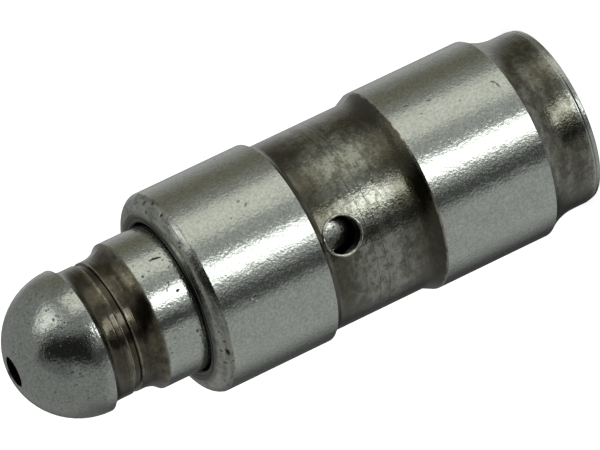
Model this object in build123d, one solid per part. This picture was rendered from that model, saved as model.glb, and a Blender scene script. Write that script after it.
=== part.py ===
from build123d import *
import os
from math import acos, asin, cos, degrees, radians, sin, sqrt

# Hydraulic tappet of the pivot kind: a ground cup that sits in a bore of the cylinder head, and a ball-ended
# plunger that its oil-filled pressure chamber and spring hold up against a rocker.
# Millimetres. The origin is the centre of the flat rear face, and +Z runs up the axis to the ball.
# Every round piece is turned from a half section, drawn as (radius, height).

# Housing, outside: lengths follow each other up from the rear face
LAND_DIA = 12.0
COLLAR_LEN = 3.4
REAR_LAND_LEN = 7.05
GROOVE_LEN = 7.15
FRONT_LAND_LEN = 6.6
LIP_RISE = 0.66
GROOVE_DEPTH = 0.37
GROOVE_REAR_TAPER = 0.75
GROOVE_FRONT_TAPER = 0.35
COLLAR_STEP = 0.72
COLLAR_BLEND_LEN = 2.15
RIM_TAPER_LEN = 0.36
RIM_TAPER_DEPTH = 0.08
RIM_LINE_UP = 0.25
RIM_LINE_WIDTH = 0.1
RIM_LINE_DEPTH = 0.05
FOOT_BEVEL = 0.05
LIP_RADIUS = 0.95

# Housing, inside
LAND_WALL = 1.32
CHAMBER_STEP = 0.48
CHAMBER_LEN = 3.8
FLOOR_THICKNESS = 2.0
CHAMBER_CORNER_RADIUS = 0.3

# Oil feed hole, drilled radially near the front end of the oil groove, on the -Y side
FEED_HOLE_DIA = 2.2
FEED_HOLE_INSET = 1.54
FEED_HOLE_EDGE = 0.03

# Snap ring of round wire in the mouth, with its split on the +Y side
RING_WIRE_DIA = 0.7
RING_DROP = 0.29
RING_SPLIT = 2.2
RING_SEAT_FIT = 0.02
RING_STEM_GAP = 0.065

# Plungers
RUNNING_FIT = 0.03
STOP_GAP = 0.04
STROKE = 3.0
STACK_GAP = 0.02
PLUNGER_CHAMFER = 0.12
LOWER_PLUNGER_LEN = 4.4
PLUNGER_WALL = 1.75
STEM_STEP = 0.285
STEM_LEN = 3.15
WAIST_DEPTH = 0.5
WAIST_ABOVE_HOLE = 4.2
WAIST_BELOW_HOLE = 1.3
WAIST_TAPER = 0.25
CROSS_HOLE_DIA = 1.4
RESERVOIR_ROOF = 26.6
DRILL_POINT_ANGLE = 118.0

# Neck and ball head
NECK_STEP = 0.485
NECK_BLEND_LEN = 1.1
NECK_REAR_LEN = 0.38
NECK_GROOVE_WIDTH = 0.4
NECK_GROOVE_DEPTH = 0.12
NECK_GROOVE_EDGE = 0.06
NECK_LEN = 0.75
HEAD_BLEND_LEN = 0.67
HEAD_DIA = 8.5
TIP_HOLE_DIA = 1.8
TIP_HOLE_EDGE = 0.1

# Check valve and its pressed cage
BALL_DIA = 3.0
VALVE_PORT_DIA = 2.0
SEAT_MOUTH_DIA = 2.6
SEAT_GAP = 0.015
BALL_LIFT = 0.25
VALVE_WEB = 1.3
CAGE_RECESS_DEPTH = 0.5
CAGE_RECESS_WALL = 0.6
CAGE_SHEET = 0.25
CAGE_SIDE_GAP = 0.12
CAGE_BOTTOM_GAP = 0.15
CAGE_RIM_GAP = 0.05
CAGE_BEND_RADIUS = 0.2
CAGE_PORT_DIA = 0.9
CAGE_PORTS = 4
CAGE_FLOOR_HOLE_DIA = 0.8

# Springs
CHECK_WIRE_DIA = 0.16
CHECK_COIL_DIA = 1.9
CHECK_TURNS = 2.5
SPRING_WIRE_DIA = 0.8
SPRING_SIDE_GAP = 0.3
SPRING_TURNS = 4.5
SPRING_SEAT_GAP = 0.01

# Radii
land_r = LAND_DIA / 2
groove_r = land_r - GROOVE_DEPTH
collar_r = land_r - COLLAR_STEP
rim_r = collar_r - RIM_TAPER_DEPTH
foot_r = rim_r - FOOT_BEVEL
bore_r = land_r - LAND_WALL
chamber_r = bore_r - CHAMBER_STEP
guide_r = bore_r - RUNNING_FIT
stem_r = guide_r - STEM_STEP
neck_r = stem_r - NECK_STEP
head_r = HEAD_DIA / 2
waist_r = guide_r - WAIST_DEPTH
reservoir_r = guide_r - PLUNGER_WALL
tip_hole_r = TIP_HOLE_DIA / 2
wire_r = RING_WIRE_DIA / 2
ring_r = stem_r + RING_STEM_GAP + wire_r
ring_seat_r = wire_r + RING_SEAT_FIT

# Heights of the housing
rear_land_z = COLLAR_LEN
groove_z = rear_land_z + REAR_LAND_LEN
front_land_z = groove_z + GROOVE_LEN
lip_base_z = front_land_z + FRONT_LAND_LEN
lip_z = lip_base_z + LIP_RISE
feed_hole_z = front_land_z - FEED_HOLE_INSET
stop_z = FLOOR_THICKNESS + CHAMBER_LEN
ring_z = lip_z - RING_DROP

# Heights of the plungers, pressed up under the snap ring as the spring leaves them
lower_z = stop_z + STROKE + STOP_GAP
stack_z = lower_z + LOWER_PLUNGER_LEN
upper_z = stack_z + STACK_GAP
shoulder_z = ring_z - wire_r - STOP_GAP
stem_top_z = shoulder_z + STEM_LEN
neck_z = stem_top_z + NECK_BLEND_LEN
neck_groove_z = neck_z + NECK_REAR_LEN
head_blend_z = neck_groove_z + NECK_GROOVE_WIDTH + NECK_LEN
head_z = head_blend_z + HEAD_BLEND_LEN
tip_z = head_z + sqrt(head_r ** 2 - (tip_hole_r + TIP_HOLE_EDGE) ** 2)

# Heights of the check valve, worked out from where the ball meets a 45 degree seat
ball_r = BALL_DIA / 2
port_r = VALVE_PORT_DIA / 2
seat_mouth_r = SEAT_MOUTH_DIA / 2
cage_seat_z = lower_z + CAGE_RECESS_DEPTH
web_z = cage_seat_z + VALVE_WEB
seat_top_z = cage_seat_z + seat_mouth_r - port_r
seat_reach = (ball_r + SEAT_GAP) * sqrt(2)
ball_z = seat_top_z + port_r - seat_reach
cage_floor_z = ball_z - ball_r - BALL_LIFT - CAGE_BOTTOM_GAP
recess_r = guide_r - CAGE_RECESS_WALL
cage_in_r = ball_r + CAGE_SIDE_GAP
cage_out_r = cage_in_r + CAGE_SHEET
cage_rim_r = recess_r - CAGE_RIM_GAP
spring_r = chamber_r - SPRING_SIDE_GAP - SPRING_WIRE_DIA / 2


def blend_radius(length, step):
    """Radius of an arc that leaves a cylinder along it and climbs by step within length."""
    return (length ** 2 + step ** 2) / (2 * step)


def turned(half_section):
    """The solid that a closed half section of lines and arcs makes when it is turned about Z."""
    with BuildPart() as piece:
        with BuildSketch(Plane.XZ):
            with BuildLine():
                for stretch in half_section:
                    add(stretch)
            make_face()
        revolve(axis=Axis.Z)
    return piece.part


def radial_hole(radius, height, turn, reach):
    """A drill that runs from the axis out to reach, turned from +X by turn degrees."""
    place = Rot(0, 0, turn) * Pos(0, 0, height) * Rot(0, 90, 0)
    return place * Cylinder(radius, reach, align=(Align.CENTER, Align.CENTER, Align.MIN))


def rear_rim():
    """Foot bevel, shallow taper with its fine turned line, and the start of the collar."""
    taper_top = FOOT_BEVEL + RIM_TAPER_LEN
    slope = RIM_TAPER_DEPTH / RIM_TAPER_LEN
    line_mid = FOOT_BEVEL + RIM_LINE_UP
    line_mid_r = rim_r + slope * RIM_LINE_UP
    half = RIM_LINE_WIDTH / 2
    return Polyline(
        (foot_r, 0),
        (rim_r, FOOT_BEVEL),
        (line_mid_r - slope * half, line_mid - half),
        (line_mid_r - RIM_LINE_DEPTH, line_mid),
        (line_mid_r + slope * half, line_mid + half),
        (collar_r, taper_top),
        (collar_r, rear_land_z - COLLAR_BLEND_LEN),
    )


def housing():
    """The cup: lands, oil groove and collar outside, stepped bore and ring seat inside."""
    collar_blend = RadiusArc(
        (collar_r, rear_land_z - COLLAR_BLEND_LEN),
        (land_r, rear_land_z),
        blend_radius(COLLAR_BLEND_LEN, COLLAR_STEP),
    )
    lands = Polyline(
        (land_r, rear_land_z),
        (land_r, groove_z),
        (groove_r, groove_z + GROOVE_REAR_TAPER),
        (groove_r, front_land_z - GROOVE_FRONT_TAPER),
        (land_r, front_land_z),
        (land_r, lip_base_z),
    )
    mouth_angle = degrees(asin((lip_z - ring_z) / ring_seat_r))
    bore_angle = degrees(acos((bore_r - ring_r) / ring_seat_r))
    mouth_r = ring_r + ring_seat_r * cos(radians(mouth_angle))
    seat_foot_z = ring_z - ring_seat_r * sin(radians(bore_angle))
    lip = RadiusArc((land_r, lip_base_z), (mouth_r, lip_z), -LIP_RADIUS)
    ring_seat = CenterArc((ring_r, ring_z), ring_seat_r, mouth_angle, -mouth_angle - bore_angle)
    bore = Polyline(
        (bore_r, seat_foot_z),
        (bore_r, stop_z),
        (chamber_r, stop_z),
        (chamber_r, FLOOR_THICKNESS + CHAMBER_CORNER_RADIUS),
    )
    corner = RadiusArc(
        (chamber_r, FLOOR_THICKNESS + CHAMBER_CORNER_RADIUS),
        (chamber_r - CHAMBER_CORNER_RADIUS, FLOOR_THICKNESS),
        CHAMBER_CORNER_RADIUS,
    )
    floor = Polyline(
        (chamber_r - CHAMBER_CORNER_RADIUS, FLOOR_THICKNESS),
        (0, FLOOR_THICKNESS),
        (0, 0),
        (foot_r, 0),
    )
    cup = turned([rear_rim(), collar_blend, lands, lip, ring_seat, bore, corner, floor])
    cup -= radial_hole(FEED_HOLE_DIA / 2, feed_hole_z, -90, land_r)
    return cup - feed_hole_edge()


def feed_hole_edge():
    """Cone that breaks the sharp edge of the feed hole at the groove floor."""
    small = FEED_HOLE_DIA / 2
    depth = FEED_HOLE_EDGE
    cone = Cone(small, small + 2 * depth, 2 * depth, align=(Align.CENTER, Align.CENTER, Align.MIN))
    return Rot(0, 0, -90) * Pos(groove_r - depth, 0, feed_hole_z) * Rot(0, 90, 0) * cone


def ball_plunger():
    """Upper plunger: hollow guide with an oil waist, ground stem, neck and ball head."""
    waist_low = feed_hole_z - WAIST_BELOW_HOLE
    waist_high = feed_hole_z + WAIST_ABOVE_HOLE
    guide = Polyline(
        (reservoir_r, upper_z),
        (guide_r - PLUNGER_CHAMFER, upper_z),
        (guide_r, upper_z + PLUNGER_CHAMFER),
        (guide_r, waist_low - WAIST_TAPER),
        (waist_r, waist_low),
        (waist_r, waist_high),
        (guide_r, waist_high + WAIST_TAPER),
        (guide_r, shoulder_z - PLUNGER_CHAMFER),
        (guide_r - PLUNGER_CHAMFER, shoulder_z),
        (stem_r, shoulder_z),
        (stem_r, stem_top_z),
    )
    stem_blend = RadiusArc(
        (stem_r, stem_top_z), (neck_r, neck_z), blend_radius(NECK_BLEND_LEN, NECK_STEP)
    )
    groove_top_z = neck_groove_z + NECK_GROOVE_WIDTH
    neck = Polyline(
        (neck_r, neck_z),
        (neck_r, neck_groove_z),
        (neck_r - NECK_GROOVE_DEPTH, neck_groove_z + NECK_GROOVE_EDGE),
        (neck_r - NECK_GROOVE_DEPTH, groove_top_z - NECK_GROOVE_EDGE),
        (neck_r, groove_top_z),
        (neck_r, head_blend_z),
    )
    head_blend = RadiusArc(
        (neck_r, head_blend_z), (head_r, head_z), blend_radius(HEAD_BLEND_LEN, head_r - neck_r)
    )
    tip_edge_r = tip_hole_r + TIP_HOLE_EDGE
    tip_angle = degrees(acos(tip_edge_r / head_r))
    head = CenterArc((0, head_z), head_r, 0, tip_angle)
    drill_rise = (reservoir_r - tip_hole_r) / sin(radians(DRILL_POINT_ANGLE / 2)) * cos(
        radians(DRILL_POINT_ANGLE / 2)
    )
    inside = Polyline(
        (tip_edge_r, tip_z),
        (tip_hole_r, tip_z - TIP_HOLE_EDGE),
        (tip_hole_r, RESERVOIR_ROOF + drill_rise),
        (reservoir_r, RESERVOIR_ROOF),
        (reservoir_r, upper_z),
    )
    plunger = turned([guide, stem_blend, neck, head_blend, head, inside])
    return plunger - radial_hole(CROSS_HOLE_DIA / 2, feed_hole_z, 90, guide_r)


def lower_plunger():
    """Pressure piston: oil cup above, valve seat in its web, recess for the cage below."""
    section = Polyline(
        (recess_r, lower_z),
        (guide_r - PLUNGER_CHAMFER, lower_z),
        (guide_r, lower_z + PLUNGER_CHAMFER),
        (guide_r, stack_z - PLUNGER_CHAMFER),
        (guide_r - PLUNGER_CHAMFER, stack_z),
        (reservoir_r, stack_z),
        (reservoir_r, web_z),
        (port_r, web_z),
        (port_r, seat_top_z),
        (seat_mouth_r, cage_seat_z),
        (recess_r, cage_seat_z),
        (recess_r, lower_z),
    )
    return turned([section])


def ball_retainer():
    """Pressed cage: flat rim against the plunger, drawn cup round the ball, oil ports in its side."""
    bend_in = CAGE_BEND_RADIUS
    bend_out = CAGE_BEND_RADIUS + CAGE_SHEET
    rim_low_z = cage_seat_z - CAGE_SHEET
    cup_low_z = cage_floor_z - CAGE_SHEET
    rim = Polyline(
        (cage_in_r + bend_out, cage_seat_z),
        (cage_rim_r, cage_seat_z),
        (cage_rim_r, rim_low_z),
        (cage_out_r + bend_in, rim_low_z),
    )
    outer_bend = RadiusArc((cage_out_r + bend_in, rim_low_z), (cage_out_r, rim_low_z - bend_in), -bend_in)
    outer_wall = Line((cage_out_r, rim_low_z - bend_in), (cage_out_r, cup_low_z + bend_out))
    outer_corner = RadiusArc(
        (cage_out_r, cup_low_z + bend_out), (cage_out_r - bend_out, cup_low_z), bend_out
    )
    floor = Polyline(
        (cage_out_r - bend_out, cup_low_z),
        (CAGE_FLOOR_HOLE_DIA / 2, cup_low_z),
        (CAGE_FLOOR_HOLE_DIA / 2, cage_floor_z),
        (cage_in_r - bend_in, cage_floor_z),
    )
    inner_corner = RadiusArc((cage_in_r - bend_in, cage_floor_z), (cage_in_r, cage_floor_z + bend_in), -bend_in)
    inner_wall = Line((cage_in_r, cage_floor_z + bend_in), (cage_in_r, cage_seat_z - bend_out))
    inner_bend = RadiusArc((cage_in_r, cage_seat_z - bend_out), (cage_in_r + bend_out, cage_seat_z), bend_out)
    outline = [rim, outer_bend, outer_wall, outer_corner, floor, inner_corner, inner_wall, inner_bend]
    cage = turned(outline)
    port_z = (rim_low_z + cage_floor_z) / 2
    for port in range(CAGE_PORTS):
        cage -= radial_hole(CAGE_PORT_DIA / 2, port_z, port * 360 / CAGE_PORTS, cage_rim_r)
    return cage


def check_ball():
    """Non-return ball, just clear of its seat so that it can lift."""
    return Pos(0, 0, ball_z) * Sphere(ball_r)


def coil(wire_dia, coil_r, turns, low_z, high_z):
    """Round-wire spring with ends ground flat at low_z and high_z."""
    pitch = (high_z - low_z) / turns
    with BuildPart() as spring:
        with BuildLine():
            wire = Helix(pitch, high_z - low_z, coil_r, center=(0, 0, low_z))
        with BuildSketch(Plane(origin=wire @ 0, z_dir=wire % 0)):
            Circle(wire_dia / 2)
        sweep(is_frenet=True)
    reach = 2 * (coil_r + wire_dia)
    slab = Pos(0, 0, (low_z + high_z) / 2) * Box(reach, reach, high_z - low_z)
    return spring.part & slab


def plunger_spring():
    """Main spring, from the chamber floor to the rim of the cage."""
    rim_low_z = cage_seat_z - CAGE_SHEET
    return coil(
        SPRING_WIRE_DIA,
        spring_r,
        SPRING_TURNS,
        FLOOR_THICKNESS + SPRING_SEAT_GAP,
        rim_low_z - SPRING_SEAT_GAP,
    )


def check_ball_spring():
    """Light spring, from the cage floor up to where its top turn meets the ball."""
    coil_r = CHECK_COIL_DIA / 2
    touch = sqrt((ball_r + CHECK_WIRE_DIA) ** 2 - coil_r ** 2)
    return coil(CHECK_WIRE_DIA, coil_r, CHECK_TURNS, cage_floor_z + SPRING_SEAT_GAP, ball_z - touch)


def retaining_ring():
    """Snap ring bent from round wire, open at its split."""
    ring = Pos(0, 0, ring_z) * Torus(ring_r, wire_r)
    gap = Pos(0, ring_r, ring_z) * Box(RING_SPLIT, 4 * wire_r, 4 * wire_r)
    return ring - gap


PIECES = {
    "housing": housing,
    "ball_plunger": ball_plunger,
    "lower_plunger": lower_plunger,
    "ball_retainer": ball_retainer,
    "check_ball": check_ball,
    "check_ball_spring": check_ball_spring,
    "plunger_spring": plunger_spring,
    "retaining_ring": retaining_ring,
}

os.makedirs("parts", exist_ok=True)
for name, make in PIECES.items():
    export_step(make(), f"parts/{name}.step")
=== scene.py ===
import math
from typing import NamedTuple

import bmesh
import bpy
from bpy.props import FloatProperty, FloatVectorProperty, IntProperty, PointerProperty
from mathutils import Matrix, Vector


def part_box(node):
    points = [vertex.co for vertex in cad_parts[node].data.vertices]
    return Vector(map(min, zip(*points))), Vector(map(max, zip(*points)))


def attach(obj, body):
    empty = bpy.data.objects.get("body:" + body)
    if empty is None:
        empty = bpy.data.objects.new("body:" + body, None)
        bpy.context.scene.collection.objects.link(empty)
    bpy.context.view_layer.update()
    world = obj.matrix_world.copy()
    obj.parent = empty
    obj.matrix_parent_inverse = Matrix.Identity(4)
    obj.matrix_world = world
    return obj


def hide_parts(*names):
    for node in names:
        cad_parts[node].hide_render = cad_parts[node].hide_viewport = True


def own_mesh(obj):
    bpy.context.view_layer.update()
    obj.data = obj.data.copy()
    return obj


bl_info = {
    "name": "Hydraulic tappet",
    "version": (1, 0, 0),
    "blender": (4, 5, 0),
    "location": "3D View > Sidebar > Tappet",
    "description": "Finishes, springs and studio of a pivot-type hydraulic tappet",
    "category": "Object",
}

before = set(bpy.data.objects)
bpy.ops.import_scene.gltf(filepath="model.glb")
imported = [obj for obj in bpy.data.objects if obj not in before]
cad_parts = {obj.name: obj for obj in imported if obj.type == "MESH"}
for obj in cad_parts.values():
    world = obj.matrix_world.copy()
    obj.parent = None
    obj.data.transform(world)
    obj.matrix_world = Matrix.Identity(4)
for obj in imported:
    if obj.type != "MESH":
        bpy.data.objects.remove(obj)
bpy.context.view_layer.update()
MM = 0.001
PER_MM = 1 / MM

# Lands of the housing and floor of its oil groove, in millimetres
LAND_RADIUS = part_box("housing")[1].x * PER_MM
GROOVE_RADIUS = 5.63

# The studio tent's radius in metres, its facets round, and the level of its bare cloth
TENT_RADIUS = 0.5
TENT_SEGMENTS = 96
TENT_LEVEL = 0.27

# Brightness of the floor's paper, of its own glow, and of the fill light
FLOOR_GREY = 0.45
FLOOR_GLOW = 0.72
FILL_LEVEL = 0.55

# The overhead lamp, in metres: width, distance in front of the tappet and height
LAMP_WIDTH = 0.9
LAMP_AHEAD = 0.35
LAMP_HEIGHT = 0.9


class Panel(NamedTuple):
    """A lit or dark panel of the studio tent, in degrees.

    Turn is measured round the tappet's axis, from the camera's side towards the right of its
    picture, and rise up towards the ball. Slant is how far the panel turns for each degree of rise.
    """

    name: str
    turn: float
    rise: float
    width: float
    height: float
    edge: float
    slant: float
    level: float
    warmth: float


PANELS = (
    Panel("pale floor", 0, -60, 400, 106, 16, 0.0, 0.45, 0.0),
    Panel("warm wall at the left", -108, -40, 44, 90, 44, 0.0, 0.165, 0.32),
    Panel("grey wall behind", -166, -40, 24, 80, 20, 0.0, 0.55, 0.0),
    Panel("dark wall at the right", 158, -40, 62, 80, 50, 0.0, 0.04, 0.0),
    Panel("lower left softbox", -57, -20, 34, 56, 12, 0.0, 0.85, 0.1),
    Panel("upper left softbox", -62, 38, 36, 26, 26, 0.0, 1.25, 0.03),
    Panel("shade above", 8, 68, 110, 56, 16, 0.0, 0.16, 0.0),
    Panel("camera hood", 5.4, 38, 54, 76, 24, -0.45, 0.02, 0.0),
    Panel("flag beside the key softbox", 31, -22, 21, 50, 9, 0.0, 0.08, 0.0),
    Panel("key softbox", -0.5, -27, 19.5, 36, 7, -0.3, 3.2, 0.0),
)


class StageSettings(bpy.types.PropertyGroup):
    """Camera, floor and light of the studio."""

    camera_turn: FloatProperty(
        name="Camera turn",
        description="Turn of the camera round the axis, from the oil feed hole",
        default=math.radians(10.3),
        subtype="ANGLE",
        unit="ROTATION",
    )
    camera_rise: FloatProperty(
        name="Camera rise",
        description="Angle at which the camera looks down on the tappet",
        default=math.radians(18.3),
        subtype="ANGLE",
        unit="ROTATION",
    )
    camera_roll: FloatProperty(
        name="Camera roll",
        description="Roll that lays the tappet's axis across the picture, ball at the lower left",
        default=math.radians(115.54),
        subtype="ANGLE",
        unit="ROTATION",
    )
    camera_distance: FloatProperty(
        name="Camera distance",
        description="Distance from the lens to the point that it aims at",
        default=0.38728,
        subtype="DISTANCE",
        unit="LENGTH",
    )
    aim: FloatVectorProperty(
        name="Aim",
        description="Point at the middle of the picture",
        default=(0.000495, 0.000094, 0.016196),
        subtype="XYZ",
        unit="LENGTH",
        precision=6,
    )
    lens: FloatProperty(name="Lens", description="Focal length in millimetres", default=419.1)
    floor_size: FloatProperty(
        name="Floor size",
        description="Width of the pale floor",
        default=3.0,
        subtype="DISTANCE",
        unit="LENGTH",
    )
    lamp_power: FloatProperty(
        name="Lamp power",
        description="Power of the overhead lamp in watts",
        default=9.0,
        unit="POWER",
    )


class FinishSettings(bpy.types.PropertyGroup):
    """Colours and textures of the steel."""

    ground_steel: FloatVectorProperty(
        name="Ground steel",
        description="Colour of the ground lands, stem and ball",
        default=(0.545, 0.588, 0.537),
        subtype="COLOR",
        min=0.0,
        max=1.0,
    )
    oxide: FloatVectorProperty(
        name="Oxide",
        description="Colour of the oiled brown oxide skin",
        default=(0.033, 0.03, 0.003),
        subtype="COLOR",
        min=0.0,
        max=1.0,
    )
    rubbed_oxide: FloatVectorProperty(
        name="Rubbed oxide",
        description="Colour of the skin where it is rubbed thin",
        default=(0.262, 0.28, 0.224),
        subtype="COLOR",
        min=0.0,
        max=1.0,
    )
    wear: FloatProperty(
        name="Wear",
        description="How strongly pits, dents and scratches show",
        default=1.0,
        min=0.0,
        max=2.0,
        subtype="FACTOR",
    )


class HoleSettings(bpy.types.PropertyGroup):
    """The burr round the oil feed hole."""

    radius: FloatProperty(
        name="Hole radius",
        description="Radius of the burr's middle line round the hole",
        default=0.00113,
        subtype="DISTANCE",
        unit="LENGTH",
        precision=5,
    )
    height: FloatProperty(
        name="Hole height",
        description="Height of the hole's axis above the rear face",
        default=0.01606,
        subtype="DISTANCE",
        unit="LENGTH",
        precision=5,
    )
    bead: FloatProperty(
        name="Bead",
        description="Mean radius of the raised bead",
        default=0.000032,
        subtype="DISTANCE",
        unit="LENGTH",
        precision=6,
    )
    unevenness: FloatProperty(
        name="Unevenness",
        description="How much the bead swells and thins along its way",
        default=1.0,
        min=0.0,
        max=2.0,
        subtype="FACTOR",
    )


class SpringSettings(bpy.types.PropertyGroup):
    """The two coil springs."""

    wire: FloatProperty(
        name="Main wire",
        description="Wire diameter of the plunger spring",
        default=0.0008,
        subtype="DISTANCE",
        unit="LENGTH",
        precision=5,
    )
    turns: FloatProperty(name="Main turns", description="Turns of the plunger spring", default=4.5)
    check_wire: FloatProperty(
        name="Check wire",
        description="Wire diameter of the check ball's spring",
        default=0.00016,
        subtype="DISTANCE",
        unit="LENGTH",
        precision=5,
    )
    check_turns: FloatProperty(
        name="Check turns", description="Turns of the check ball's spring", default=2.5
    )
    sides: IntProperty(name="Wire sides", description="Facets round the wire", default=20, min=6)


class Graph:
    """Short calls for building a node tree."""

    def __init__(self, tree):
        self.tree = tree

    def add(self, kind, inputs=None, **settings):
        """A node with its settings, and with its inputs linked or set."""
        node = self.tree.nodes.new(kind)
        for key, value in settings.items():
            setattr(node, key, value)
        for key, value in (inputs or {}).items():
            self.put(node.inputs[key], value)
        return node

    def put(self, socket, value):
        """Links a socket to another node's output, or sets its own value."""
        if isinstance(value, bpy.types.NodeSocket):
            self.tree.links.new(value, socket)
        elif socket.type == "RGBA":
            socket.default_value = (*value, 1.0)
        else:
            socket.default_value = value

    def math(self, operation, *values, clamp=False):
        node = self.add("ShaderNodeMath", operation=operation, use_clamp=clamp)
        for socket, value in zip(node.inputs, values):
            self.put(socket, value)
        return node.outputs[0]

    def vector(self, operation, *values):
        node = self.add("ShaderNodeVectorMath", operation=operation)
        for socket, value in zip(node.inputs, values):
            self.put(socket, value)
        single = operation in ("LENGTH", "DOT_PRODUCT")
        return node.outputs["Value" if single else "Vector"]

    def scaled(self, vector, x, y, z):
        """The vector with each axis multiplied by its own number."""
        return self.vector("MULTIPLY", vector, (x, y, z))

    def smooth(self, value, low, high, start=0.0, end=1.0):
        """Rises smoothly from start to end while value goes from low to high."""
        node = self.add("ShaderNodeMapRange", interpolation_type="SMOOTHSTEP")
        self.put(node.inputs["Value"], value)
        self.put(node.inputs["From Min"], low)
        self.put(node.inputs["From Max"], high)
        self.put(node.inputs["To Min"], start)
        self.put(node.inputs["To Max"], end)
        return node.outputs["Result"]

    def mix(self, share, first, second):
        """Two numbers mixed by share."""
        node = self.add("ShaderNodeMix", data_type="FLOAT")
        for key, value in (("Factor", share), ("A", first), ("B", second)):
            self.put(node.inputs[key], value)
        return node.outputs["Result"]

    def mix_colour(self, share, first, second, blend="MIX"):
        """Two colours mixed by share."""
        node = self.add("ShaderNodeMix", data_type="RGBA", blend_type=blend)
        self.put(node.inputs["Factor"], share)
        self.put(node.inputs[6], first)
        self.put(node.inputs[7], second)
        return node.outputs[2]

    def noise(self, vector, scale, detail, roughness=0.5, colour=False):
        inputs = {"Vector": vector, "Scale": scale, "Detail": detail, "Roughness": roughness}
        node = self.add("ShaderNodeTexNoise", inputs)
        return node.outputs["Color" if colour else "Fac"]

    def profile(self, height, stops):
        """A number that follows (height, value) stops along the axis."""
        low, high = stops[0][0], stops[-1][0]
        ramp = self.add("ShaderNodeValToRGB")
        share = self.math("DIVIDE", self.math("SUBTRACT", height, low), high - low)
        self.put(ramp.inputs[0], share)
        elements = ramp.color_ramp.elements
        elements.remove(elements[0])
        for index, (stop_z, value) in enumerate(stops):
            position = (stop_z - low) / (high - low)
            element = elements[0] if index == 0 else elements.new(position)
            element.position = position
            element.color = (value, value, value, 1.0)
        return ramp.outputs[0]

    def grey(self, value):
        """A grey of this brightness."""
        return self.add("ShaderNodeCombineColor", {0: value, 1: value, 2: value}).outputs[0]

    def cells(self, vector, scale):
        """Distance to the nearest of a field of scattered points."""
        node = self.add("ShaderNodeTexVoronoi", {"Vector": vector, "Scale": scale})
        return node.outputs["Distance"]

    def both(self, first, second):
        return self.math("MULTIPLY", first, second)

    def total(self, *values):
        result = values[0]
        for value in values[1:]:
            result = self.math("ADD", result, value)
        return result


class Mark(NamedTuple):
    """A dent: its height, angle round the axis and radius there, two half sizes, lean and strength."""

    z: float
    angle: float
    radius: float
    across: float
    along: float
    lean: float
    strength: float


# Dents and pits that the wear has left, in millimetres and degrees
HOUSING_MARKS = (
    Mark(24.52, -14.2, 5.82, 0.21, 0.14, 30, 1.0),
    Mark(24.36, -21.5, 5.93, 0.22, 0.14, -20, 1.0),
    Mark(24.78, -19.1, 5.47, 0.16, 0.14, 0, 0.9),
    Mark(24.47, -33.1, 5.86, 0.19, 0.14, 20, 1.0),
    Mark(24.47, -123.5, 5.80, 0.32, 0.13, 15, 1.4),
    Mark(24.55, -132.0, 5.72, 0.13, 0.22, 0, 0.8),
    Mark(22.19, -98.6, 6.00, 0.08, 0.27, 12, 1.0),
    Mark(22.02, -100.6, 6.00, 0.08, 0.19, 12, 0.8),
    Mark(20.27, -51.9, 6.00, 0.09, 0.19, 40, 0.6),
    Mark(20.50, -48.0, 6.00, 0.11, 0.11, 0, 0.5),
    Mark(13.59, -34.3, 5.63, 0.14, 0.14, 0, 0.8),
    Mark(24.66, -109.9, 5.67, 0.08, 0.14, 10, 0.9),
    Mark(9.18, -38.9, 6.00, 0.06, 0.20, -20, 0.7),
    Mark(7.90, -42.0, 6.00, 0.06, 0.22, -25, 0.7),
    Mark(4.17, -49.1, 6.00, 0.06, 0.20, -50, 0.7),
    Mark(4.03, -52.0, 6.00, 0.06, 0.24, -72, 0.7),
)
PLUNGER_MARKS = (
    Mark(25.79, -48.3, 4.36, 0.09, 0.40, -12, 1.2),
    Mark(26.95, -57.2, 4.36, 0.09, 0.09, 0, 0.9),
    Mark(25.59, -77.6, 4.36, 0.09, 0.12, 20, 1.3),
    Mark(25.87, -70.2, 4.36, 0.17, 0.05, -20, 0.8),
    Mark(25.35, -111.2, 4.36, 0.11, 0.09, 0, 0.8),
    Mark(31.60, -50.3, 4.07, 0.09, 0.17, 50, 0.8),
    Mark(32.42, -44.0, 3.77, 0.11, 0.09, 40, 1.0),
    Mark(32.58, -46.4, 3.69, 0.09, 0.11, 0, 0.8),
    Mark(32.39, -54.8, 3.79, 0.11, 0.09, 20, 1.0),
    Mark(32.00, -62.2, 3.95, 0.11, 0.09, 0, 0.9),
    Mark(31.96, -18.4, 3.96, 0.11, 0.11, 0, 0.9),
    Mark(34.48, -71.8, 1.57, 0.09, 0.09, 0, 0.9),
    Mark(32.30, -104.1, 3.83, 0.11, 0.11, 0, 0.8),
)

# Colours that stay as they are when the finish is set anew
DIRT = (0.045, 0.042, 0.036)
CLOUDED_STEEL = (0.522, 0.557, 0.508)
STRAW = (0.5, 0.47, 0.37)
# Partly painted highlight: the bright straw line on the edge of the groove's rear taper
STRAW_EDGE_HIGHLIGHT = (0.6, 0.55, 0.4)
# Painted shade: the bore and the feed hole's walls are coloured near black to stand for the shade
# inside them
BORE_SHADE = (0.02, 0.018, 0.015)
NECK_TINT = (0.88, 0.74, 0.56)
RING_OXIDE = (0.03, 0.028, 0.024)
RUBBED_RING = (0.22, 0.22, 0.2)

# Depths of relief in millimetres
MARK_DEPTH = 0.03
NICK_DEPTH = 0.015
LIP_PIT_DEPTH = 0.02
SPECK_DEPTH = 0.006

# Radius of a nick in millimetres, and the side on which the ground faces have been knocked most
NICK_RADIUS = 0.055
WORN_SIDE = (math.cos(math.radians(-47.0)), math.sin(math.radians(-47.0)), 0.0)

# Film of oil: how strongly it covers the skin of the housing and of the neck, and its optics
OIL_FILM = 0.9
NECK_OIL_FILM = 0.75
OIL_ROUGHNESS = 0.09
OIL_IOR = 1.7


def new_material(name, slot_colour):
    """An empty node material. The colour is what it shows in the solid view."""
    material = bpy.data.materials.new(name)
    material.use_nodes = True
    material.diffuse_color = (*slot_colour, 1.0)
    material.node_tree.nodes.clear()
    return material, Graph(material.node_tree)


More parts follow.
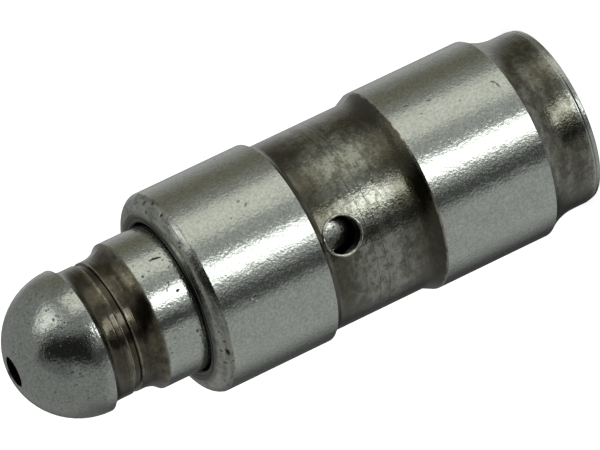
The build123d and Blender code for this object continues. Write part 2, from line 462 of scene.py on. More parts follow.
def place(graph):
    """Object coordinates in millimetres, with the radius from the axis and the height."""
    coordinates = graph.add("ShaderNodeTexCoord").outputs["Object"]
    point = graph.scaled(coordinates, PER_MM, PER_MM, PER_MM)
    parts = graph.add("ShaderNodeSeparateXYZ", {"Vector": point})
    flat = graph.scaled(point, 1, 1, 0)
    return point, graph.vector("LENGTH", flat), parts.outputs["Z"]


def dents(graph, point, marks):
    """Strength of all marks at a point. Each is an ellipse on the surface with a ragged outline."""
    wobble = graph.noise(point, 7.0, 2.0, 0.6, colour=True)
    shake = graph.vector("SUBTRACT", wobble, (0.5, 0.5, 0.5))
    shaken = graph.vector("ADD", point, graph.scaled(shake, 0.1, 0.1, 0.1))
    total = 0.0
    for mark in marks:
        angle = math.radians(mark.angle)
        outward = Vector((math.cos(angle), math.sin(angle), 0.0))
        turned = Matrix.Rotation(angle, 3, "Z") @ Matrix.Rotation(math.radians(mark.lean), 3, "X")
        local = graph.add(
            "ShaderNodeMapping",
            {
                "Vector": shaken,
                "Location": outward * mark.radius + Vector((0.0, 0.0, mark.z)),
                "Rotation": turned.to_euler(),
                "Scale": (mark.across, mark.across, mark.along),
            },
            vector_type="TEXTURE",
        )
        distance = graph.vector("LENGTH", local.outputs[0])
        total = graph.total(total, graph.smooth(distance, 0.4, 1.0, mark.strength, 0.0))
    return total


def scarred(graph, surface, dent, depth):
    """A (colour, roughness, height) surface with dents pressed into it and dirt left in them."""
    colour, roughness, height = surface
    dirty = graph.mix_colour(graph.math("MULTIPLY", dent, 0.8, clamp=True), colour, DIRT)
    return dirty, roughness, graph.math("SUBTRACT", height, graph.both(dent, depth))


def grind_lines(graph, point, fineness):
    """Fine lines that a grinding wheel leaves round the axis, from -0.5 to 0.5."""
    stretched = graph.scaled(point, 0.35, 0.35, fineness)
    return graph.math("SUBTRACT", graph.noise(stretched, 1.0, 3.0, 0.65), 0.5)


def pits(graph, point, scale, size, share):
    """Scattered short nicks, 1 inside and 0 outside. Share is how much of the surface has none."""
    swirl = graph.noise(point, scale * 0.6, 1.0, colour=True)
    bent = graph.vector("ADD", point, graph.scaled(swirl, 0.5, 0.5, 0.5))
    distance = graph.cells(graph.scaled(bent, 1.0, 1.0, 0.55), scale)
    few = graph.smooth(graph.noise(point, scale * 0.37, 1.0), share, graph.total(share, 0.06))
    return graph.both(graph.smooth(distance, size * 0.5, size, 1.0, 0.0), few)


def steel_output(graph, surface, anisotropy, oil=0.0):
    """Metal ground round the axis under a film of oil. The surface's height is in millimetres."""
    colour, roughness, height = surface
    bump = graph.add("ShaderNodeBump", {"Strength": 1.0, "Distance": MM, "Height": height})
    shader = graph.add("ShaderNodeBsdfPrincipled")
    graph.put(shader.inputs["Base Color"], colour)
    shader.inputs["Metallic"].default_value = 1.0
    graph.put(shader.inputs["Coat Weight"], oil)
    shader.inputs["Coat Roughness"].default_value = OIL_ROUGHNESS
    shader.inputs["Coat IOR"].default_value = OIL_IOR
    graph.put(shader.inputs["Coat Normal"], bump.outputs["Normal"])
    graph.put(shader.inputs["Roughness"], roughness)
    graph.put(shader.inputs["Normal"], bump.outputs["Normal"])
    if anisotropy:
        tangent = graph.add("ShaderNodeTangent", direction_type="RADIAL", axis="Z")
        shader.inputs["Anisotropic"].default_value = anisotropy
        shader.inputs["Anisotropic Rotation"].default_value = 0.25
        graph.put(shader.inputs["Tangent"], tangent.outputs["Tangent"])
    graph.add("ShaderNodeOutputMaterial", {"Surface": shader.outputs["BSDF"]})


def ground_surface(graph, point, look, nicks, spacing, polish):
    """Ground steel, finely lined and speckled, with more short nicks where nicks is lower."""
    across = graph.vector("NORMALIZE", graph.scaled(point, 1, 1, 0))
    worn = graph.vector("DOT_PRODUCT", across, WORN_SIDE)
    nicks = graph.total(nicks, graph.smooth(worn, 0.95, 0.99, 0.0, -0.13))
    lines = grind_lines(graph, point, 22.0)
    speckle = graph.math("SUBTRACT", graph.noise(point, 6.5, 2.0, 0.65), 0.5)
    cloud = graph.noise(point, 0.9, 2.0, 0.5)
    nick = pits(graph, point, spacing, NICK_RADIUS * spacing, nicks)
    clouded = graph.smooth(cloud, 0.35, 0.65)
    colour = graph.mix_colour(clouded, look.ground_steel, CLOUDED_STEEL)
    shade = graph.smooth(speckle, -0.25, 0.25, 0.78, 1.14)
    colour = graph.mix_colour(1.0, colour, graph.grey(shade), "MULTIPLY")
    roughness = graph.total(polish, graph.both(lines, 0.1), graph.both(speckle, 0.12))
    ripple = graph.noise(graph.scaled(point, 1.0, 1.0, 0.7), 3.6, 2.0, 0.6)
    height = graph.total(
        graph.both(lines, 0.001),
        graph.both(speckle, 0.012),
        graph.both(cloud, 0.014),
        graph.both(ripple, 0.009),
    )
    return scarred(graph, (colour, roughness, height), graph.both(nick, 0.7), NICK_DEPTH)


def oxide_surface(graph, point, look, rubbed):
    """Oiled oxide skin, mottled. It is brown-black where rubbed is 0 and grey-green where it is 1."""
    broad = graph.noise(graph.scaled(point, 1.0, 1.0, 1.3), 1.5, 5.0, 0.66)
    grain = graph.noise(point, 7.0, 2.0, 0.65)
    streak = graph.noise(graph.scaled(point, 0.5, 0.5, 7.0), 1.0, 2.0, 0.6)
    uneven = graph.total(
        graph.smooth(broad, 0.36, 0.64, -0.62, 0.62),
        graph.both(graph.math("SUBTRACT", grain, 0.5), 0.9),
        graph.both(graph.math("SUBTRACT", streak, 0.5), 0.8),
    )
    swing = graph.total(graph.both(rubbed, 0.75), 0.17)
    share = graph.total(rubbed, graph.both(uneven, swing))
    colour = graph.mix_colour(graph.math("MAXIMUM", share, 0.0), look.oxide, look.rubbed_oxide)
    shade = graph.smooth(grain, 0.32, 0.68, 0.84, 1.16)
    colour = graph.mix_colour(1.0, colour, graph.grey(shade), "MULTIPLY")
    roughness = graph.mix(share, 0.2, 0.14)
    height = graph.total(
        graph.both(graph.math("SUBTRACT", grain, 0.5), 0.015),
        graph.both(graph.math("SUBTRACT", streak, 0.5), 0.003),
    )
    return colour, roughness, height


def blend_surfaces(graph, share, first, second):
    """Mixes two (colour, roughness, height) surfaces."""
    return (
        graph.mix_colour(share, first[0], second[0]),
        graph.mix(share, first[1], second[1]),
        graph.mix(share, first[2], second[2]),
    )


def rounded(graph, height, corners):
    """Relief that rounds hollow corners, each given by its height, half width and turn."""
    relief = 0.0
    for corner_z, half, turn in corners:
        offset = graph.math("ABSOLUTE", graph.math("SUBTRACT", height, corner_z))
        near = graph.math("SUBTRACT", 1.0, graph.math("DIVIDE", offset, half), clamp=True)
        relief = graph.total(relief, graph.both(graph.math("POWER", near, 2.0), turn * half / 4))
    return relief


def rings(graph, height, lines):
    """Relief of turned rings, each given by its height, half width and depth in millimetres."""
    relief = 0.0
    for line_z, half, depth in lines:
        offset = graph.math("ABSOLUTE", graph.math("SUBTRACT", height, line_z))
        relief = graph.total(relief, graph.smooth(offset, 0.0, half, -depth, 0.0))
    return relief


# Turned lines left in the oil groove: height, half width and depth in millimetres
GROOVE_LINES = (
    (14.63, 0.045, 1.0),
    (14.04, 0.045, 1.0),
    (12.8, 0.045, 0.6),
)
# Corners that the finishing has rounded: height, half width, and the outline's change of slope there
HOUSING_CORNERS = (
    (11.2, 0.5, 0.49),
    (17.25, 0.18, 1.06),
)
# How far the skin is rubbed through at each height: collar, its blend into the land, and groove
HOUSING_WEAR = (
    (0.42, 1.0),
    (0.60, 0.55),
    (0.72, 0.30),
    (1.10, 0.24),
    (1.35, 0.12),
    (1.55, 0.08),
    (1.90, 0.33),
    (2.15, 0.30),
    (2.50, 0.20),
    (2.75, 0.30),
    (3.00, 0.50),
    (10.5, 0.30),
    (10.6, 0.0),
    (11.5, 0.0),
    (12.0, 0.12),
    (12.5, 0.36),
    (13.0, 0.62),
    (13.4, 0.85),
    (14.6, 0.85),
    (15.1, 0.64),
    (15.6, 0.40),
    (16.0, 0.27),
    (16.4, 0.12),
    (16.7, 0.0),
    (17.1, 0.04),
    (17.4, 0.20),
)
# Heights of the housing in millimetres: rim, rear face, collar, groove and lip
RIM_EDGE_Z = 0.41
REAR_FACE_TOP_Z = 1.0
COLLAR_TOP_Z = 3.4
LAND_EDGE_Z = 10.5
GROOVE_TOP_Z = 17.25
LIP_START_Z = 24.15
# Radii in millimetres: inside of the walls and back of the groove's skin, which bound the painted shade
# of the bore and the feed hole, and inner edge of the lip, where the lip's painted shade is darkest
INSIDE_RADIUS = 4.95
GROOVE_SKIN_RADIUS = GROOVE_RADIUS - 0.06
LIP_INNER_RADIUS = 5.1


def lip_surface(graph, point, radius, lip, patches, surface):
    """The surface with the turned-in lip streaked, pitted and tinted with straw, where lip is 1, and
    darkened towards the lip's inner edge at the mouth as painted shade.
    """
    colour, roughness, relief = surface
    pitted = graph.both(pits(graph, point, 2.6, 0.2, 0.42), lip)
    streaks = graph.noise(graph.scaled(point, 0.7, 0.7, 7.0), 1.0, 3.0, 0.6)
    mottled = graph.total(graph.both(streaks, 0.9), graph.both(patches, 1.1))
    bright = graph.smooth(mottled, 0.75, 1.25, 0.62, 1.3)
    # Painted shade: the lip's tone falls to half towards its inner edge by the mouth
    inner_edge_shade = graph.smooth(radius, LIP_INNER_RADIUS, LIP_INNER_RADIUS + 0.25, 0.5, 1.0)
    lip_tone = graph.mix(lip, 1.0, graph.both(bright, inner_edge_shade))
    colour = graph.mix_colour(1.0, colour, graph.grey(lip_tone), "MULTIPLY")
    straw = graph.smooth(patches, 0.42, 0.62, 0.05, 0.5)
    colour = graph.mix_colour(graph.both(lip, straw), colour, STRAW)
    furrows = graph.both(graph.math("SUBTRACT", mottled, 1.0), lip)
    relief = graph.total(relief, graph.both(furrows, 0.025))
    return scarred(graph, (colour, roughness, relief), pitted, LIP_PIT_DEPTH)


def straw_edge_and_highlight(graph, height, ragged, patches, colour):
    """The colour with a straw line where the groove's rear taper meets the land, partly rubbed bright
    by wear and partly a painted highlight on the edge.
    """
    frayed = graph.total(height, graph.both(ragged, 0.1))
    from_edge = graph.math("ABSOLUTE", graph.math("SUBTRACT", frayed, LAND_EDGE_Z))
    near = graph.smooth(from_edge, 0.02, 0.09, 1.0, 0.0)
    edge = graph.both(near, graph.smooth(patches, 0.4, 0.55))
    return graph.mix_colour(graph.both(edge, 0.8), colour, STRAW_EDGE_HIGHLIGHT)


def inside_walls(graph, radius, height):
    """1 on the bore and on the walls of the feed hole, whose colour is darkened there as painted shade,
    0 on the outside and on the rear face.
    """
    above_collar = graph.smooth(height, COLLAR_TOP_Z, COLLAR_TOP_Z + 1)
    below_mouth = graph.mix(above_collar, INSIDE_RADIUS, GROOVE_SKIN_RADIUS)
    above_groove = graph.smooth(height, GROOVE_TOP_Z, GROOVE_TOP_Z + 0.2)
    wall_radius = graph.mix(above_groove, below_mouth, INSIDE_RADIUS)
    inner = graph.math("LESS_THAN", radius, wall_radius)
    return graph.both(inner, graph.math("GREATER_THAN", height, REAR_FACE_TOP_Z))


def housing_material(look):
    """Ground lands, oiled oxide in the groove and on the collar, and painted shade that darkens the
    bore and the feed hole's walls.
    """
    material, graph = new_material("housing_steel", look.ground_steel)
    point, radius, height = place(graph)
    ragged = graph.math("SUBTRACT", graph.noise(point, 3.0, 3.0, 0.6), 0.5)
    frayed_radius = graph.total(radius, graph.both(ragged, 0.03))
    land = graph.smooth(frayed_radius, LAND_RADIUS - 0.035, LAND_RADIUS - 0.005)
    lip = graph.smooth(height, LIP_START_Z, LIP_START_Z + 0.05)
    land = graph.math("MAXIMUM", land, lip)
    frayed_height = graph.total(height, graph.both(ragged, 0.35))
    oxide = oxide_surface(graph, point, look, graph.profile(frayed_height, HOUSING_WEAR))
    ground = ground_surface(graph, point, look, 0.66, 2.1, 0.185)
    rim_height = graph.total(height, graph.both(ragged, 0.1))
    rim = graph.smooth(rim_height, RIM_EDGE_Z - 0.02, RIM_EDGE_Z + 0.09, 0.75, 0.0)
    surface = blend_surfaces(graph, graph.math("MAXIMUM", land, rim), oxide, ground)
    patches = graph.noise(graph.scaled(point, 1.2, 1.2, 3.0), 1.3, 3.0, 0.6)
    colour, roughness, relief = lip_surface(graph, point, radius, lip, patches, surface)
    # Straw line on the rear taper's edge, partly wear and partly painted highlight
    colour = straw_edge_and_highlight(graph, height, ragged, patches, colour)
    # Painted shade: the bore and the feed hole's walls are coloured near black
    inside = inside_walls(graph, radius, height)
    colour = graph.mix_colour(inside, colour, BORE_SHADE)
    fading = graph.noise(graph.scaled(point, 1.0, 1.0, 0.1), 0.8, 2.0)
    broken = graph.smooth(fading, 0.35, 0.6, 0.55, 1.0)
    line = graph.both(graph.both(rings(graph, height, GROOVE_LINES), -1.0), broken)
    colour = graph.mix_colour(graph.both(line, 0.9), colour, DIRT)
    corners = rounded(graph, height, HOUSING_CORNERS)
    relief = graph.total(relief, graph.both(line, -0.003), corners)
    dent = graph.both(dents(graph, point, HOUSING_MARKS), look.wear)
    surface = scarred(graph, (colour, roughness, relief), dent, MARK_DEPTH)
    bare = graph.math("SUBTRACT", 1.0, graph.math("MAXIMUM", land, inside))
    steel_output(graph, surface, 0.55, graph.both(bare, OIL_FILM))
    return material


# Heights of the plunger in millimetres: stem, foot of the neck, and ball
STEM_TOP_Z = 27.2
NECK_FOOT_TOP_Z = 28.5
HEAD_START_Z = 30.44
# Turned rings of the neck: height, half width and depth in millimetres, negative for a ridge
NECK_RINGS = (
    (28.76, 0.06, -0.02),
    (29.27, 0.06, -0.02),
    (28.35, 0.05, 0.006),
    (29.65, 0.05, 0.008),
)
# How far the neck's skin is rubbed through at each height: bright at both edges of its ring groove,
# where the bright stripes on the two ridges are partly wear and partly painted highlight
NECK_WEAR_AND_SHEEN = (
    (27.20, 0.95),
    (27.40, 0.75),
    (27.55, 0.40),
    (27.85, 0.32),
    (28.15, 0.18),
    (28.45, 0.06),
    (28.66, 0.15),
    (28.73, 0.95),
    (28.80, 0.80),
    (28.85, 0.0),
    (29.18, 0.0),
    (29.24, 0.90),
    (29.31, 1.0),
    (29.40, 0.35),
    (29.55, 0.12),
    (29.80, 0.0),
)


def plunger_material(look):
    """Ground stem and ball head, brown oxide on the neck between them."""
    material, graph = new_material("plunger_steel", look.ground_steel)
    point, _, height = place(graph)
    ragged = graph.math("SUBTRACT", graph.noise(point, 2.5, 3.0, 0.6), 0.5)
    ragged = graph.both(ragged, 0.16)
    rim = graph.total(height, ragged)
    neck = graph.both(
        graph.smooth(rim, STEM_TOP_Z, STEM_TOP_Z + 0.25),
        graph.smooth(rim, HEAD_START_Z, HEAD_START_Z + 0.18, 1.0, 0.0),
    )
    frayed_height = graph.total(height, graph.both(ragged, 0.3))
    oxide = oxide_surface(graph, point, look, graph.profile(frayed_height, NECK_WEAR_AND_SHEEN))
    ground = ground_surface(graph, point, look, 0.48, 3.6, 0.115)
    foot = graph.smooth(height, NECK_FOOT_TOP_Z, NECK_FOOT_TOP_Z + 0.2, 1.0, 0.75)
    browner = graph.mix_colour(foot, oxide[0], NECK_TINT, "MULTIPLY")
    smoother = graph.both(oxide[2], 0.4)
    skin = (browner, oxide[1], smoother)
    colour, roughness, relief = blend_surfaces(graph, neck, ground, skin)
    relief = graph.total(relief, rings(graph, height, NECK_RINGS))
    # The ball is peppered with specks that the rest of the plunger lacks
    on_ball = graph.smooth(height, HEAD_START_Z, HEAD_START_Z + 1, 0.0, 0.5)
    specks = graph.both(pits(graph, point, 5.0, 0.36, 0.42), on_ball)
    surface = scarred(graph, (colour, roughness, relief), specks, SPECK_DEPTH)
    dent = graph.both(dents(graph, point, PLUNGER_MARKS), look.wear)
    surface = scarred(graph, surface, dent, MARK_DEPTH)
    steel_output(graph, surface, 0.4, graph.both(neck, NECK_OIL_FILM))
    return material


def inner_material(name, tint, roughness, wear_scale, anisotropy):
    """Clean oiled steel of the hidden pieces, each with its own tint and grain."""
    material, graph = new_material(name, tint)
    point = place(graph)[0]
    film = graph.noise(point, wear_scale, 3.0, 0.6)
    lines = grind_lines(graph, point, 18.0)
    oiled = tuple(0.62 * part for part in tint)
    colour = graph.mix_colour(graph.smooth(film, 0.35, 0.7), tint, oiled)
    gloss = graph.total(roughness, graph.both(lines, 0.12))
    steel_output(graph, (colour, gloss, graph.both(lines, 0.002)), anisotropy)
    return material


def ring_material():
    """Dark oiled wire with paler lines rubbed along it."""
    material, graph = new_material("ring_wire", (0.16, 0.16, 0.165))
    point, radius, height = place(graph)
    across = graph.add("ShaderNodeCombineXYZ", {"X": radius, "Z": height}).outputs[0]
    slow = graph.noise(point, 0.4, 2.0)
    lines = graph.total(graph.noise(across, 9.0, 2.0, 0.6), graph.both(slow, 0.3))
    rubbed = graph.smooth(lines, 0.62, 0.78)
    colour = graph.mix_colour(rubbed, RING_OXIDE, RUBBED_RING)
    steel_output(graph, (colour, 0.25, graph.both(lines, 0.01)), 0.0)
    return material


def dress(node, material):
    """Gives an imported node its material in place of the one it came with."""
    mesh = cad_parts[node].data
    mesh.materials.clear()
    mesh.materials.append(material)


def new_tree(name, inputs):
    """A Geometry Nodes tree with these inputs and one output, and its input sockets."""
    tree = bpy.data.node_groups.new(name, "GeometryNodeTree")
    for label, kind in inputs:
        tree.interface.new_socket(label, in_out="INPUT", socket_type="NodeSocket" + kind)
    tree.interface.new_socket("Geometry", in_out="OUTPUT", socket_type="NodeSocketGeometry")
    graph = Graph(tree)
    return tree, graph, graph.add("NodeGroupInput").outputs


def coil_tree():
    """Geometry Nodes that wind a round-wire spring about the Z axis and grind its ends flat."""
    inputs = (
        ("Low", "Float"),
        ("High", "Float"),
        ("Coil radius", "Float"),
        ("Wire radius", "Float"),
        ("Turns", "Float"),
        ("Points a turn", "Int"),
        ("Wire sides", "Int"),
        ("Material", "Material"),
    )
    tree, graph, given = new_tree("coil_spring", inputs)
    rise = graph.math("SUBTRACT", given["High"], given["Low"])
    points = graph.both(given["Turns"], given["Points a turn"])
    spiral = graph.add(
        "GeometryNodeCurveSpiral",
        {
            "Resolution": given["Points a turn"],
            "Rotations": given["Turns"],
            "Start Radius": given["Coil radius"],
            "End Radius": given["Coil radius"],
            "Height": rise,
        },
    )
    even = graph.add("GeometryNodeResampleCurve", {"Curve": spiral.outputs[0], "Count": points})
    lift = graph.add("ShaderNodeCombineXYZ", {"Z": given["Low"]})
    raised = graph.add(
        "GeometryNodeSetPosition", {"Geometry": even.outputs[0], "Offset": lift.outputs[0]}
    )
    section = graph.add(
        "GeometryNodeCurvePrimitiveCircle",
        {"Resolution": given["Wire sides"], "Radius": given["Wire radius"]},
    )
    wire = graph.add(
        "GeometryNodeCurveToMesh",
        {"Curve": raised.outputs[0], "Profile Curve": section.outputs[0], "Fill Caps": True},
    )
    position = graph.add("GeometryNodeInputPosition").outputs[0]
    parts = graph.add("ShaderNodeSeparateXYZ", {"Vector": position})
    above_low = graph.math("MAXIMUM", parts.outputs["Z"], given["Low"])
    flat_z = graph.math("MINIMUM", above_low, given["High"])
    ground = graph.add(
        "ShaderNodeCombineXYZ", {"X": parts.outputs["X"], "Y": parts.outputs["Y"], "Z": flat_z}
    )
    ends = graph.add(
        "GeometryNodeSetPosition", {"Geometry": wire.outputs[0], "Position": ground.outputs[0]}
    )
    finish_tree(graph, ends.outputs[0], given["Material"])
    return tree


def burr_tree():
    """Geometry Nodes that lay an uneven bead of metal round a radial hole on the -Y side."""
    inputs = (
        ("Hole radius", "Float"),
        ("Surface radius", "Float"),
        ("Height", "Float"),
        ("Bead radius", "Float"),
        ("Unevenness", "Float"),
        ("Points", "Int"),
        ("Seed", "Float"),
        ("Material", "Material"),
    )
    tree, graph, given = new_tree("hole_burr", inputs)
    circle = graph.add(
        "GeometryNodeCurvePrimitiveCircle",
        {"Resolution": given["Points"], "Radius": given["Hole radius"]},
    )
    position = graph.add("GeometryNodeInputPosition").outputs[0]
    parts = graph.add("ShaderNodeSeparateXYZ", {"Vector": position}).outputs
    square = graph.math(
        "SUBTRACT",
        graph.math("POWER", given["Surface radius"], 2.0),
        graph.math("POWER", parts["X"], 2.0),
    )
    depth = graph.both(graph.math("SQRT", square), -1.0)
    saddle = graph.add(
        "ShaderNodeCombineXYZ",
        {"X": parts["X"], "Y": depth, "Z": graph.total(parts["Y"], given["Height"])},
    )
    # More metal is turned up on the side away from the ball
    wave = graph.add("ShaderNodeTexNoise", noise_dimensions="4D")
    graph.put(wave.inputs["Vector"], graph.scaled(position, PER_MM, PER_MM, PER_MM))
    graph.put(wave.inputs["W"], given["Seed"])
    wave.inputs["Scale"].default_value = 2.2
    low_side = graph.both(graph.math("DIVIDE", parts["Y"], given["Hole radius"]), -0.35)
    ripple = graph.both(graph.math("SUBTRACT", wave.outputs[0], 0.5), 3.0)
    swell = graph.both(graph.total(ripple, low_side), given["Unevenness"])
    width = graph.math("MAXIMUM", graph.total(swell, 1.0), 0.3)
    laid = graph.add(
        "GeometryNodeSetPosition", {"Geometry": circle.outputs[0], "Position": saddle.outputs[0]}
    )
    swollen = graph.add("GeometryNodeSetCurveRadius", {"Curve": laid.outputs[0], "Radius": width})
    section = graph.add(
        "GeometryNodeCurvePrimitiveCircle", {"Resolution": 10, "Radius": given["Bead radius"]}
    )
    bead = graph.add(
        "GeometryNodeCurveToMesh",
        {"Curve": swollen.outputs[0], "Profile Curve": section.outputs[0], "Scale": width},
    )
    finish_tree(graph, bead.outputs[0], given["Material"])
    return tree


def finish_tree(graph, geometry, material):
    """Ends a tree in plain, smooth-shaded geometry with its material set."""
    smooth = graph.add("GeometryNodeSetShadeSmooth", {"Geometry": geometry, "Shade Smooth": True})
    real = graph.add("GeometryNodeRealizeInstances", {"Geometry": smooth.outputs[0]})
    painted = graph.add(
        "GeometryNodeSetMaterial", {"Geometry": real.outputs[0], "Material": material}
    )
    graph.add("NodeGroupOutput", {"Geometry": painted.outputs[0]})


def grown(name, tree, values):
    """A plain mesh object made by a Geometry Nodes tree with these named inputs."""
    seed_mesh = bpy.data.meshes.new(name + "_seed")
    maker = bpy.data.objects.new(name + "_maker", seed_mesh)
    bpy.context.scene.collection.objects.link(maker)
    modifier = maker.modifiers.new("maker", "NODES")
    modifier.node_group = tree
    sockets = {s.name: s.identifier for s in tree.interface.items_tree if s.in_out == "INPUT"}
    for key, value in values.items():
        modifier[sockets[key]] = value
    depsgraph = bpy.context.evaluated_depsgraph_get()
    mesh = bpy.data.meshes.new_from_object(maker.evaluated_get(depsgraph), depsgraph=depsgraph)
    mesh.name = name
    bpy.data.objects.remove(maker)
    bpy.data.meshes.remove(seed_mesh)
    piece = bpy.data.objects.new(name, mesh)
    bpy.context.scene.collection.objects.link(piece)
    return piece


class TAPPET_OT_stage(bpy.types.Operator):
    """Makes the camera, the pale floor, the studio tent and the lamp"""

    bl_idname = "tappet.stage"
    bl_label = "Stage"

    def execute(self, context):
        stage = context.scene.tappet_stage
        make_camera(context.scene, stage)
        make_floor(stage.floor_size)
        make_world(context.scene)
        make_tent(stage.camera_turn)
        make_lamps(stage)
        context.scene.view_settings.view_transform = "Standard"
        return {"FINISHED"}


def toward_camera(turn):
    """Unit vector across the axis, from the axis to the camera's side."""
    return Vector((math.sin(turn), -math.cos(turn), 0.0))


def make_camera(scene, stage):
    data = bpy.data.cameras.new("camera")
    data.sensor_width = 36.0
    data.lens = stage.lens
    data.clip_start = 0.01
    data.clip_end = 20.0
    side = toward_camera(stage.camera_turn)
    back = side * math.cos(stage.camera_rise) + Vector((0, 0, math.sin(stage.camera_rise)))
    camera = bpy.data.objects.new("camera", data)
    scene.collection.objects.link(camera)
    level = (-back).to_track_quat("-Z", "Y").to_matrix()
    rolled = level @ Matrix.Rotation(-stage.camera_roll, 3, "Z")
    placed = rolled.to_4x4()
    placed.translation = Vector(stage.aim) + back * stage.camera_distance
    camera.matrix_world = placed
    scene.camera = camera


def seen_rays(graph):
    """1 for rays that show the background: the camera's own, reflected and transmitted ones."""
    path = graph.add("ShaderNodeLightPath").outputs
    seen = graph.math("MAXIMUM", path["Is Camera Ray"], path["Is Glossy Ray"])
    return graph.math("MAXIMUM", seen, path["Is Transmission Ray"])


def make_floor(size):
    """Pale floor that shows white where it is lit and keeps a faint shadow."""
    half = size / 2
    mesh = bpy.data.meshes.new("floor")
    corners = [(-half, -half, 0), (half, -half, 0), (half, half, 0), (-half, half, 0)]
    mesh.from_pydata(corners, [], [(0, 1, 2, 3)])
    floor = bpy.data.objects.new("floor", mesh)
    bpy.context.scene.collection.objects.link(floor)
    floor.visible_glossy = False
    floor.visible_shadow = False
    material, graph = new_material("floor", (1, 1, 1))
    paper = graph.add("ShaderNodeBsdfDiffuse", {"Color": (FLOOR_GREY,) * 3})
    strength = graph.both(seen_rays(graph), FLOOR_GLOW)
    glow = graph.add("ShaderNodeEmission", {"Color": (1, 1, 1), "Strength": strength})
    both = graph.add("ShaderNodeAddShader", {0: paper.outputs[0], 1: glow.outputs[0]})
    graph.add("ShaderNodeOutputMaterial", {"Surface": both.outputs[0]})
    mesh.materials.append(material)


def make_world(scene):
    """White background, and a plain fill for everything that is not a direct view of it."""
    world = bpy.data.worlds.new("studio")
    world.use_nodes = True
    world.node_tree.nodes.clear()
    graph = Graph(world.node_tree)
    strength = graph.mix(seen_rays(graph), FILL_LEVEL, 1.0)
    light = graph.add("ShaderNodeBackground", {"Color": (1, 1, 1), "Strength": strength})
    graph.add("ShaderNodeOutputWorld", {"Surface": light.outputs[0]})
    scene.world = world


def make_tent(camera_turn):
    """A round studio tent of grey cloth with softboxes, walls and flags, which only metal sees."""
    mesh = bpy.data.meshes.new("tent")
    tent = bpy.data.objects.new("tent", mesh)
    bpy.context.scene.collection.objects.link(tent)
    ball = bmesh.new()
    bmesh.ops.create_uvsphere(
        ball, u_segments=TENT_SEGMENTS, v_segments=TENT_SEGMENTS // 2, radius=TENT_RADIUS
    )
    bmesh.ops.reverse_faces(ball, faces=ball.faces)
    ball.to_mesh(mesh)
    ball.free()
    tent.visible_camera = False
    tent.visible_diffuse = False
    tent.visible_shadow = False
    tent.visible_transmission = False
    material, graph = new_material("tent", (0.5, 0.5, 0.5))
    material.cycles.emission_sampling = "NONE"
    coordinates = graph.add("ShaderNodeTexCoord").outputs["Object"]
    to_camera = toward_camera(camera_turn)
    to_right = Vector((to_camera.y, -to_camera.x, 0.0))
    ahead = graph.vector("DOT_PRODUCT", coordinates, tuple(to_camera))
    aside = graph.vector("DOT_PRODUCT", coordinates, tuple(to_right))
    turn = graph.both(graph.math("ARCTAN2", aside, ahead), math.degrees(1))
    unit = graph.vector("NORMALIZE", coordinates)
    up = graph.add("ShaderNodeSeparateXYZ", {"Vector": unit}).outputs["Z"]
    rise = graph.both(graph.math("ARCSINE", up), math.degrees(1))
    light = (TENT_LEVEL,) * 3
    for panel in PANELS:
        lean = graph.both(graph.math("SUBTRACT", rise, panel.rise), -panel.slant)
        offset = graph.math("SUBTRACT", graph.total(turn, lean), panel.turn)
        across = graph.math("ABSOLUTE", graph.math("WRAP", offset, 180.0, -180.0))
        along = graph.math("ABSOLUTE", graph.math("SUBTRACT", rise, panel.rise))
        beyond = graph.math(
            "MAXIMUM",
            graph.math("SUBTRACT", across, panel.width / 2),
            graph.math("SUBTRACT", along, panel.height / 2),
        )
        share = graph.smooth(beyond, -panel.edge / 2, panel.edge / 2, 1.0, 0.0)
        tone = (
            panel.level * (1 + panel.warmth / 2),
            panel.level * (1 + panel.warmth / 4),
            panel.level * (1 - panel.warmth / 2),
        )
        light = graph.mix_colour(share, light, tone)
    glow = graph.add("ShaderNodeEmission", {"Color": light, "Strength": 1.0})
    graph.add("ShaderNodeOutputMaterial", {"Surface": glow.outputs[0]})
    mesh.materials.append(material)


def make_lamps(stage):
    """One large soft lamp over the tappet, which metal does not mirror."""
    data = bpy.data.lights.new("overhead_lamp", "AREA")
    data.shape = "DISK"
    data.size = LAMP_WIDTH
    data.energy = stage.lamp_power
    lamp = bpy.data.objects.new("overhead_lamp", data)
    bpy.context.scene.collection.objects.link(lamp)
    side = toward_camera(stage.camera_turn)
    lamp.location = side * LAMP_AHEAD + Vector((0, 0, LAMP_HEIGHT))
    lamp.rotation_mode = "QUATERNION"
    lamp.rotation_quaternion = (-lamp.location).to_track_quat("-Z", "Y")
    lamp.visible_glossy = False


class TAPPET_OT_housing(bpy.types.Operator):
    """Finishes the housing and the snap ring in its mouth"""

    bl_idname = "tappet.housing"
    bl_label = "Housing and ring"

    def execute(self, context):
        dress("housing", housing_material(context.scene.tappet_finish))
        dress("retaining_ring", ring_material())
        return {"FINISHED"}


class TAPPET_OT_feed_hole_burr(bpy.types.Operator):
    """Raises the bright burr round the oil feed hole"""

    bl_idname = "tappet.feed_hole_burr"
    bl_label = "Feed hole burr"

    def execute(self, context):
        hole = context.scene.tappet_hole
        piece = grown(
            "feed_hole_burr",
            burr_tree(),
            {
                "Hole radius": hole.radius,
                "Surface radius": GROOVE_RADIUS * MM - hole.bead * 0.3,
                "Height": hole.height,
                "Bead radius": hole.bead,
                "Unevenness": hole.unevenness,
                "Points": 120,
                "Seed": 3.0,
                "Material": inner_material("burr_steel", (0.6, 0.58, 0.51), 0.24, 3.0, 0.0),
            },
        )
        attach(piece, "housing")
        return {"FINISHED"}


class TAPPET_OT_ball_plunger(bpy.types.Operator):
    """Finishes the ball-ended plunger"""

    bl_idname = "tappet.ball_plunger"
    bl_label = "Ball plunger"

    def execute(self, context):
        dress("ball_plunger", plunger_material(context.scene.tappet_finish))
        return {"FINISHED"}


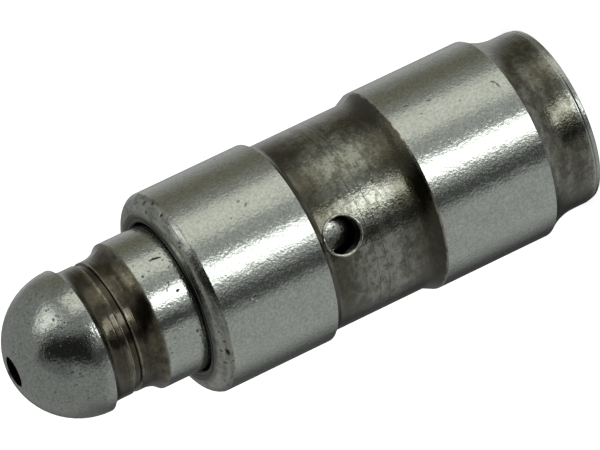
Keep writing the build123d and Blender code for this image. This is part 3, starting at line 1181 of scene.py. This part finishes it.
class TAPPET_OT_check_valve(bpy.types.Operator):
    """Finishes the lower plunger, the check ball and its pressed cage"""

    bl_idname = "tappet.check_valve"
    bl_label = "Check valve"

    def execute(self, context):
        dress("lower_plunger", inner_material("piston_steel", (0.54, 0.55, 0.53), 0.2, 0.8, 0.5))
        dress("ball_retainer", inner_material("pressed_sheet", (0.45, 0.45, 0.44), 0.3, 1.5, 0.0))
        dress("check_ball", inner_material("ball_steel", (0.62, 0.62, 0.62), 0.1, 1.2, 0.0))
        return {"FINISHED"}


class TAPPET_OT_springs(bpy.types.Operator):
    """Winds the plunger spring and the check ball's spring and hangs each from its body"""

    bl_idname = "tappet.springs"
    bl_label = "Springs"

    def execute(self, context):
        springs = context.scene.tappet_springs
        tree = coil_tree()
        steel = inner_material("spring_wire", (0.32, 0.32, 0.33), 0.28, 2.0, 0.0)
        rows = (
            ("plunger_spring", "housing", "plunger_stroke", springs.wire, springs.turns),
            ("check_ball_spring", "piston", "check_ball_lift", springs.check_wire, springs.check_turns),
        )
        for node, body, joint, wire, turns in rows:
            low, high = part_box(node)
            piece = grown(
                node + "_wire",
                tree,
                {
                    "Low": low.z,
                    "High": high.z,
                    "Coil radius": (high.x - low.x) / 2 - wire / 2,
                    "Wire radius": wire / 2,
                    "Turns": turns,
                    "Points a turn": 72,
                    "Wire sides": springs.sides,
                    "Material": steel,
                },
            )
            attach(piece, body)
            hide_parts(node)
            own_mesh(piece)
        return {"FINISHED"}


class TAPPET_PT_sidebar(bpy.types.Panel):
    """Sidebar panel with the tappet's pieces and settings"""

    bl_idname = "TAPPET_PT_sidebar"
    bl_label = "Tappet"
    bl_space_type = "VIEW_3D"
    bl_region_type = "UI"
    bl_category = "Tappet"

    def draw(self, context):
        for operator in OPERATORS:
            self.layout.operator(operator.bl_idname)
        groups = (
            (context.scene.tappet_stage, StageSettings),
            (context.scene.tappet_finish, FinishSettings),
            (context.scene.tappet_hole, HoleSettings),
            (context.scene.tappet_springs, SpringSettings),
        )
        for group, kind in groups:
            box = self.layout.box()
            for name in kind.__annotations__:
                box.prop(group, name)


OPERATORS = (
    TAPPET_OT_stage,
    TAPPET_OT_housing,
    TAPPET_OT_feed_hole_burr,
    TAPPET_OT_ball_plunger,
    TAPPET_OT_check_valve,
    TAPPET_OT_springs,
)
CLASSES = (StageSettings, FinishSettings, HoleSettings, SpringSettings, *OPERATORS, TAPPET_PT_sidebar)


def register():
    for item in CLASSES:
        bpy.utils.register_class(item)
    bpy.types.Scene.tappet_stage = PointerProperty(type=StageSettings)
    bpy.types.Scene.tappet_finish = PointerProperty(type=FinishSettings)
    bpy.types.Scene.tappet_hole = PointerProperty(type=HoleSettings)
    bpy.types.Scene.tappet_springs = PointerProperty(type=SpringSettings)


def unregister():
    del bpy.types.Scene.tappet_springs
    del bpy.types.Scene.tappet_hole
    del bpy.types.Scene.tappet_finish
    del bpy.types.Scene.tappet_stage
    for item in reversed(CLASSES):
        bpy.utils.unregister_class(item)


def main():
    register()
    bpy.ops.tappet.stage()
    bpy.ops.tappet.housing()
    bpy.ops.tappet.feed_hole_burr()
    bpy.ops.tappet.ball_plunger()
    bpy.ops.tappet.check_valve()
    bpy.ops.tappet.springs()


if __name__ == "__main__":
    main()
